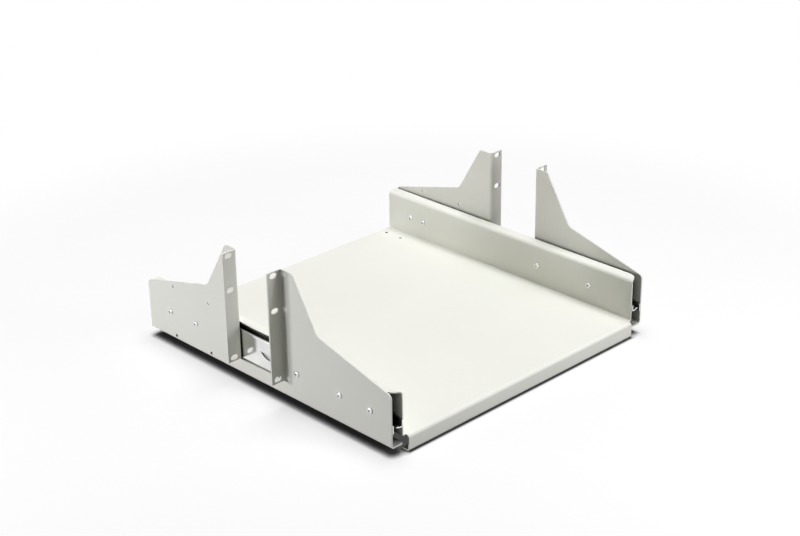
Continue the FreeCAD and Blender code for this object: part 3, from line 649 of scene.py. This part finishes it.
@dataclass
class PanScrew:
    """A pan-head machine screw with a tapered cross recess."""

    head_radius: float = 3.9 * MM
    head_height: float = 2.3 * MM
    edge_height: float = 0.75 * MM
    crown_power: float = 0.72
    shank_radius: float = 2.0 * MM
    bar_length: float = 4.4 * MM
    bar_width: float = 0.95 * MM
    bar_depth: float = 1.5 * MM
    bar_taper: float = 0.6
    seat_share: float = 0.4
    smooth_below: float = 0.6
    around: int = 40
    rings: int = 9
    seed: int = 11
    tree: RowTree = field(init=False)

    def __post_init__(self) -> None:
        """Build the tree once for every row."""
        self.tree = self.build()

    def head(self, row: RowTree) -> bpy.types.NodeSocket:
        """Shape the head: a disc whose crown follows a superellipse.

        Args:
            row: the tree to build in.

        Returns:
            The mesh socket.
        """
        radius = row.given("Head Radius")
        height = row.given("Head Height")
        edge = row.given("Edge Height")
        disc = row.add("GeometryNodeMeshCylinder", {
            "Vertices": self.around, "Side Segments": 1, "Fill Segments": self.rings,
            "Radius": radius, "Depth": edge}, fill_type="TRIANGLE_FAN")
        place = row.add("ShaderNodeSeparateXYZ", {0: row.add("GeometryNodeInputPosition").outputs[0]})
        flat = row.vector(place.outputs["X"], place.outputs["Y"])
        reach = row.add("ShaderNodeVectorMath", {0: flat}, operation="LENGTH").outputs["Value"]
        turn = row.maths("MULTIPLY", row.maths("DIVIDE", reach, radius), math.pi / 2)
        power = row.given("Crown Power")
        out = row.maths("POWER", row.maths("SINE", turn), power)
        rise = row.maths("POWER", row.maths("MAXIMUM", row.maths("COSINE", turn), 0.0), power)
        crown = row.maths("MULTIPLY", rise, row.maths("SUBTRACT", height, edge))
        ring = row.add("ShaderNodeVectorMath", {0: flat}, operation="NORMALIZE").outputs[0]
        spread = row.add("ShaderNodeVectorMath", {0: ring, "Scale": row.maths("MULTIPLY", out, radius)},
                         operation="SCALE").outputs[0]
        lifted = row.add("ShaderNodeVectorMath", {
            0: spread, 1: row.vector(z=row.maths("ADD", edge, crown))}, operation="ADD").outputs[0]
        above = row.maths("GREATER_THAN", place.outputs["Z"], 0.0)
        domed = row.add("GeometryNodeSetPosition", {
            "Geometry": disc.outputs["Mesh"], "Selection": above, "Position": lifted})
        below = row.maths("LESS_THAN", place.outputs["Z"], 0.0)
        seated = row.add("GeometryNodeSetPosition", {
            "Geometry": domed.outputs[0], "Selection": below,
            "Offset": row.vector(z=row.maths("DIVIDE", edge, 2.0))})
        return seated.outputs[0]

    def bar(self, row: RowTree, crosswise: bool) -> bpy.types.NodeSocket:
        """Shape one bar of the recess, narrower at its foot.

        Args:
            row: the tree to build in.
            crosswise: whether the bar lies along Y.

        Returns:
            The mesh socket.
        """
        length = row.given("Bar Length")
        width = row.given("Bar Width")
        deep = row.maths("MULTIPLY", row.given("Bar Depth"), 2.0)
        size = row.vector(width, length, deep) if crosswise else row.vector(length, width, deep)
        cube = row.add("GeometryNodeMeshCube", {"Size": size})
        place = row.add("GeometryNodeInputPosition").outputs[0]
        height = row.add("ShaderNodeSeparateXYZ", {0: place}).outputs["Z"]
        foot = row.maths("LESS_THAN", height, 0.0)
        taper = row.given("Bar Taper")
        narrow = row.add("ShaderNodeVectorMath", {0: place, 1: row.vector(taper, taper, 1.0)},
                         operation="MULTIPLY").outputs[0]
        wedge = row.add("GeometryNodeSetPosition", {
            "Geometry": cube.outputs["Mesh"], "Selection": foot, "Position": narrow})
        raised = row.add("GeometryNodeTransform", {
            "Geometry": wedge.outputs[0], "Translation": row.vector(z=row.given("Head Height"))})
        return raised.outputs[0]

    def build(self) -> RowTree:
        """Build the tree that repeats the screw on every place.

        Returns:
            The tree.
        """
        row = RowTree("pan_screw_row")
        for name in ("Head Radius", "Head Height", "Edge Height", "Crown Power", "Shank Radius",
                     "Shank Length", "Bar Length", "Bar Width", "Bar Depth", "Bar Taper", "Outward"):
            row.offer(name, "Float")
        row.offer("Seed", "Int")
        row.offer("Material", "Material")
        sunk = row.given("Shank Length")
        seat = row.maths("MULTIPLY", row.given("Edge Height"), self.seat_share)
        shank = row.add("GeometryNodeMeshCylinder", {
            "Vertices": self.around, "Radius": row.given("Shank Radius"),
            "Depth": row.maths("ADD", sunk, seat)}, fill_type="NGON")
        hung = row.add("GeometryNodeTransform", {
            "Geometry": shank.outputs["Mesh"],
            "Translation": row.vector(z=row.maths("DIVIDE", row.maths("SUBTRACT", seat, sunk), 2.0))})
        whole = row.add("GeometryNodeMeshBoolean", {"Mesh 2": [self.head(row), hung.outputs[0]]},
                        operation="UNION", solver="EXACT")
        cross = row.add("GeometryNodeMeshBoolean", {"Mesh 2": [self.bar(row, False), self.bar(row, True)]},
                        operation="UNION", solver="EXACT")
        cut = row.add("GeometryNodeMeshBoolean", {
            "Mesh 1": whole.outputs["Mesh"], "Mesh 2": cross.outputs["Mesh"]},
            operation="DIFFERENCE", solver="EXACT")
        angle = row.add("GeometryNodeInputMeshEdgeAngle").outputs["Unsigned Angle"]
        soft = row.maths("LESS_THAN", angle, self.smooth_below)
        smooth = row.add("GeometryNodeSetShadeSmooth", {
            "Geometry": cut.outputs["Mesh"], "Shade Smooth": soft}, domain="EDGE")
        turn = row.add("FunctionNodeRandomValue", {
            2: 0.0, 3: math.pi / 2, "Seed": row.given("Seed")}, data_type="FLOAT")
        spin = row.add("FunctionNodeAxisAngleToRotation", {
            "Axis": (0.0, 0.0, 1.0), "Angle": turn.outputs[1]})
        facing = row.add("FunctionNodeAlignRotationToVector", {
            "Vector": row.vector(row.given("Outward"))}, axis="Z")
        turned = row.add("FunctionNodeRotateRotation", {
            "Rotation": facing.outputs[0], "Rotate By": spin.outputs[0]}, rotation_space="LOCAL")
        copies = row.add("GeometryNodeInstanceOnPoints", {
            "Points": row.given("Places"), "Instance": smooth.outputs[0], "Rotation": turned.outputs[0]})
        row.close(copies.outputs[0])
        return row

    def row(self, name: str, places: list[Triple], outward: float, reach: float,
            material: bpy.types.Material) -> bpy.types.Object:
        """Make one row of screws.

        Args:
            name: the new object's name.
            places: middle of each head's seat.
            outward: 1 or -1, the way the heads face along X.
            reach: length of the shank.
            material: the finish.

        Returns:
            The row as one plain mesh.
        """
        return self.tree.grow(name, places, {
            "Head Radius": self.head_radius, "Head Height": self.head_height,
            "Edge Height": self.edge_height, "Crown Power": self.crown_power,
            "Shank Radius": self.shank_radius, "Shank Length": reach,
            "Bar Length": self.bar_length, "Bar Width": self.bar_width,
            "Bar Depth": self.bar_depth, "Bar Taper": self.bar_taper,
            "Outward": outward, "Seed": self.seed, "Material": material})


@dataclass
class BearingRow:
    """The two straight rows of balls that one cage carries."""

    radius: float = 2.0 * MM
    count: int = 5
    rounds: int = 4
    tree: RowTree = field(init=False)

    def __post_init__(self) -> None:
        """Build the tree once for every cage."""
        self.tree = self.build()

    def build(self) -> RowTree:
        """Build the tree that runs a line of balls from every place.

        Returns:
            The tree.
        """
        row = RowTree("bearing_row")
        row.offer("Ball Radius", "Float")
        row.offer("Ball Pitch", "Float")
        row.offer("Ball Count", "Int")
        row.offer("Material", "Material")
        line = row.add("GeometryNodeMeshLine", {
            "Count": row.given("Ball Count"), "Offset": row.vector(y=row.given("Ball Pitch"))})
        lines = row.add("GeometryNodeInstanceOnPoints", {
            "Points": row.given("Places"), "Instance": line.outputs["Mesh"]})
        seats = row.add("GeometryNodeRealizeInstances", {"Geometry": lines.outputs[0]})
        ball = row.add("GeometryNodeMeshIcoSphere", {
            "Radius": row.given("Ball Radius"), "Subdivisions": self.rounds})
        smooth = row.add("GeometryNodeSetShadeSmooth", {"Geometry": ball.outputs["Mesh"]})
        copies = row.add("GeometryNodeInstanceOnPoints", {
            "Points": seats.outputs[0], "Instance": smooth.outputs[0]})
        row.close(copies.outputs[0])
        return row

    def rows(self, name: str, node: str, material: bpy.types.Material) -> bpy.types.Object:
        """Fill one cage with balls.

        Args:
            name: the new object's name.
            node: the CAD node that holds the same balls.
            material: the finish.

        Returns:
            The balls as one plain mesh.
        """
        low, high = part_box(node)
        across = (low[0] + high[0]) / 2
        first = low[1] + self.radius
        pitch = (high[1] - low[1] - 2 * self.radius) / (self.count - 1)
        starts = [(across, first, low[2] + self.radius), (across, first, high[2] - self.radius)]
        return self.tree.grow(name, starts, {
            "Ball Radius": self.radius, "Ball Pitch": pitch, "Ball Count": self.count,
            "Material": material})


def row_middles(node: str, axis: int = 1, gap: float = 4.0 * MM) -> list[float]:
    """Find where a CAD node's separate solids lie along one axis.

    Args:
        node: the node's name.
        axis: 0, 1 or 2.
        gap: least distance between two solids.

    Returns:
        The middle of each solid, in order.
    """
    values = sorted(vertex.co[axis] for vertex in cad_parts[node].data.vertices)
    middles = []
    start = values[0]
    for before, after in zip(values, values[1:] + [math.inf]):
        if after - before > gap:
            middles.append((start + before) / 2)
            start = after
    return middles


def stand_in(piece: bpy.types.Object, node: str, body: str) -> None:
    """Let a finished piece take a CAD node's place on its body.

    Args:
        piece: the new piece.
        node: the node that it replaces.
        body: the body that it rides on.
    """
    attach(piece, body)
    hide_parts(node)
    log.info("built %s in place of %s: %d faces", piece.name, node, len(piece.data.polygons))


def dress(node: str, material: bpy.types.Material) -> None:
    """Give a CAD node its finish.

    Args:
        node: the node's name.
        material: the finish.
    """
    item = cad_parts[node]
    item.data.materials.clear()
    item.data.materials.append(material)
    log.info("dressed %s in %s", node, material.name)


@dataclass
class Tray:
    """The folded tray that carries the equipment."""

    node: str = "shelf_tray"

    def dress(self, finishes: FinishSet) -> None:
        """Paint the tray.

        Args:
            finishes: the shelf's finishes.
        """
        dress(self.node, finishes.tray)


@dataclass
class BracketSet:
    """One side's bracket with the screws that hold its slide."""

    side: Side
    screw_height: float = SLIDE_MIDDLE
    screw_reach: float = 3.4 * MM

    def build(self, screw: PanScrew, finishes: FinishSet) -> None:
        """Make the screws, heads outward on the plate.

        Args:
            screw: the screw to repeat.
            finishes: the shelf's finishes.
        """
        node = f"{self.side.label}_bracket_screws"
        low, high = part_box(node)
        face = self.side.value * (max(abs(low[0]), abs(high[0])) - screw.head_height)
        places = [(face, along, self.screw_height) for along in row_middles(node)]
        piece = screw.row(f"{self.side.label}_bracket_pan_screws", places, float(self.side.value),
                          self.screw_reach, finishes.screw_zinc)
        stand_in(piece, node, "rack_side")

    def dress(self, finishes: FinishSet) -> None:
        """Paint the bracket.

        Args:
            finishes: the shelf's finishes.
        """
        dress(f"{self.side.label}_bracket", finishes.bracket)


@dataclass
class SlideSet:
    """One side's ball-bearing slide."""

    side: Side
    screw_height: float = SLIDE_MIDDLE
    screw_reach: float = 2.9 * MM

    def build(self, screw: PanScrew, bearing: BearingRow, finishes: FinishSet) -> None:
        """Make the tray's screws, heads inward, and the balls.

        Args:
            screw: the screw to repeat.
            bearing: the rows of balls.
            finishes: the shelf's finishes.
        """
        side = self.side.label
        node = f"{side}_tray_screws"
        low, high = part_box(node)
        face = self.side.value * (min(abs(low[0]), abs(high[0])) + screw.head_height)
        places = [(face, along, self.screw_height) for along in row_middles(node)]
        piece = screw.row(f"{side}_tray_pan_screws", places, -float(self.side.value),
                          self.screw_reach, finishes.screw_zinc)
        stand_in(piece, node, "tray")
        for row in ("outer", "inner"):
            node = f"{side}_{row}_balls"
            piece = bearing.rows(f"{side}_{row}_bearing_balls", node, finishes.balls)
            stand_in(piece, node, f"{side}_{row}_cage")

    def dress(self, finishes: FinishSet) -> None:
        """Plate the members and cages.

        Args:
            finishes: the shelf's finishes.
        """
        side = self.side.label
        for member in ("outer", "intermediate", "inner"):
            dress(f"{side}_slide_{member}_member", finishes.rolled_zinc)
        for row in ("outer", "inner"):
            dress(f"{side}_{row}_ball_cage", finishes.cage_zinc)
        dress(f"{side}_slide_rear_bumper", finishes.plastic)


@dataclass(frozen=True)
class SoftLamp:
    """One soft square lamp, which the camera doesn't see."""

    name: str
    place: Triple
    size: float
    power: float
    colour: Triple = (1.01, 1.0, 1.06)
    target: Triple = (0.0, 0.0, 0.06)

    def hang(self) -> None:
        """Hang the lamp and turn it to its target."""
        data = bpy.data.lights.new(self.name, "AREA")
        data.shape = "SQUARE"
        data.size = self.size
        data.energy = self.power
        data.color = self.colour
        item = bpy.data.objects.new(self.name, data)
        item.location = self.place
        aim = Vector(self.target) - Vector(self.place)
        item.rotation_mode = "QUATERNION"
        item.rotation_quaternion = aim.to_track_quat("-Z", "Y")
        item.visible_camera = False
        bpy.context.scene.collection.objects.link(item)


@dataclass
class Studio:
    """Floor, lamps, world and the camera at the photograph's viewing angle."""

    camera_place: Triple = (-1.3400, -1.3911, 0.9674)
    camera_right: Triple = (0.71429, -0.69973, -0.01275)
    camera_up: Triple = (0.29737, 0.28696, 0.91062)
    focal: float = 75.636
    sensor: float = 36.0
    nearest: float = 0.05
    farthest: float = 30.0
    floor_radius: float = 1.3
    floor_sides: int = 96
    floor_drop: float = 0.2 * MM
    air: float = 0.012
    air_colour: Triple = (0.93, 0.94, 0.96)
    white: Triple = (1.0, 1.0, 1.0)
    lamps: tuple[SoftLamp, ...] = (
        SoftLamp("high_lamp", place=(0.25, 0.2, 2.5), size=1.3, power=61.5),
        SoftLamp("rear_left_lamp", place=(-1.25, 0.65, 0.14), size=0.24, power=5.1),
        SoftLamp("left_lamp", place=(-1.25, 0.3, 0.12), size=0.2, power=4.1),
        SoftLamp("front_lamp", place=(0.35, -1.15, 0.3), size=0.5, power=6.3),
    )

    def floor(self) -> None:
        """Lay a round floor that runs out past every view."""
        mesh = bpy.data.meshes.new("studio_floor")
        form = bmesh.new()
        bmesh.ops.create_circle(form, cap_ends=True, segments=self.floor_sides, radius=self.floor_radius)
        bmesh.ops.translate(form, verts=form.verts, vec=(0.0, 0.0, -self.floor_drop))
        form.to_mesh(mesh)
        form.free()
        mesh.materials.append(StudioSweep().material())
        item = bpy.data.objects.new("studio_floor", mesh)
        bpy.context.scene.collection.objects.link(item)

    def world(self) -> None:
        """Light the air evenly, and show the camera plain white."""
        world = bpy.data.worlds.new("studio_air")
        world.use_nodes = True
        air = NodeBuilder(world.node_tree)
        air.tree.nodes.clear()
        ambient = air.add("ShaderNodeBackground", {"Color": (*self.air_colour, 1.0), "Strength": self.air})
        backdrop = air.add("ShaderNodeBackground", {"Color": (*self.white, 1.0), "Strength": 1.0})
        sky = air.layer(air.clear_sight(), ambient, backdrop)
        air.add("ShaderNodeOutputWorld", {"Surface": sky.outputs[0]})
        bpy.context.scene.world = world

    def camera(self) -> None:
        """Stand the camera where the photograph was taken from."""
        data = bpy.data.cameras.new("photo_camera")
        data.sensor_width = self.sensor
        data.lens = self.focal
        data.clip_start = self.nearest
        data.clip_end = self.farthest
        item = bpy.data.objects.new("photo_camera", data)
        right = Vector(self.camera_right).normalized()
        up = Vector(self.camera_up)
        up = (up - right * up.dot(right)).normalized()
        back = right.cross(up)
        turn = Matrix((right, up, back)).transposed().to_4x4()
        item.matrix_world = Matrix.Translation(self.camera_place) @ turn
        bpy.context.scene.collection.objects.link(item)
        bpy.context.scene.camera = item

    def build(self) -> None:
        """Set up the whole studio."""
        self.camera()
        self.floor()
        self.world()
        for lamp in self.lamps:
            lamp.hang()
        bpy.context.scene.view_settings.view_transform = "Standard"


def main() -> None:
    """Build the studio and dress every piece of the shelf."""
    Studio().build()
    finishes = FinishSet()
    Tray().dress(finishes)
    screw = PanScrew()
    bearing = BearingRow()
    for side in Side:
        bracket = BracketSet(side)
        bracket.build(screw, finishes)
        bracket.dress(finishes)
        slide = SlideSet(side)
        slide.build(screw, bearing, finishes)
        slide.dress(finishes)


if __name__ == "__main__":
    main()
